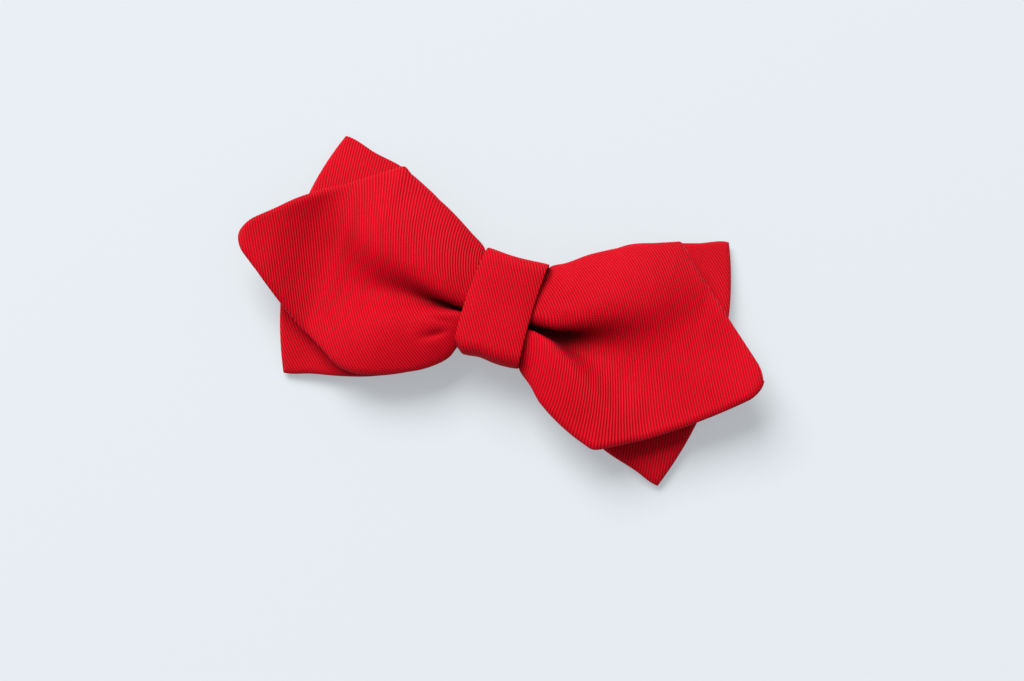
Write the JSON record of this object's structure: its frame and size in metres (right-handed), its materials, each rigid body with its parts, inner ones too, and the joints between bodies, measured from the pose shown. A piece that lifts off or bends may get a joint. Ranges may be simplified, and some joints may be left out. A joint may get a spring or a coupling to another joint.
{
  "type": "clip-on bow tie",
  "caption": "Clip-on bow tie: a diamond-pointed front bow over a square-cornered rear bow, gathered by a wrapped knot, with a sprung metal clip behind.",
  "frame": {"origin": "under the middle of the tie, on the surface that the clip's jaws rest on", "axes": "+X along the bow towards its right point as seen from the front, +Y across the bow towards its upper edge, +Z out of its face"},
  "size_m": [0.12, 0.0586, 0.014],
  "materials": {
    "twill": "matt red cotton twill with fine steep ribs",
    "interlining": "plain undyed woven interlining",
    "nickel_steel": "bright nickel-plated stamped steel",
    "spring_wire": "drawn spring wire"
  },
  "bodies": {
    "tie": {"front_bow_face": "twill", "front_bow_interlining": "interlining", "front_bow_back": "twill", "rear_bow_face": "twill", "rear_bow_interlining": "interlining", "rear_bow_back": "twill", "knot_band": "twill", "knot_interlining": "interlining", "clip_base_plate": "nickel_steel", "left_hinge_pin": "nickel_steel", "right_hinge_pin": "nickel_steel", "left_spring": "spring_wire", "right_spring": "spring_wire"},
    "left_jaw_lever": {"left_jaw": "nickel_steel"},
    "right_jaw_lever": {"right_jaw": "nickel_steel"}
  },
  "joints": [
    {"name": "left_jaw_hinge", "type": "hinge", "parent": "tie", "child": "left_jaw_lever", "pos_m": [-0.0124, -0.0021, 0.00225], "axis": [0, -1, 0], "range_deg": [0, 25], "stiffness_Nm_per_rad": 0.03, "springref_deg": -40.11, "deforming": ["left_spring"]},
    {"name": "right_jaw_hinge", "type": "hinge", "parent": "tie", "child": "right_jaw_lever", "pos_m": [0.0136, -0.0021, 0.00225], "axis": [0, 1, 0], "range_deg": [0, 25], "stiffness_Nm_per_rad": 0.03, "springref_deg": -40.11, "deforming": ["right_spring"]}
  ]
}
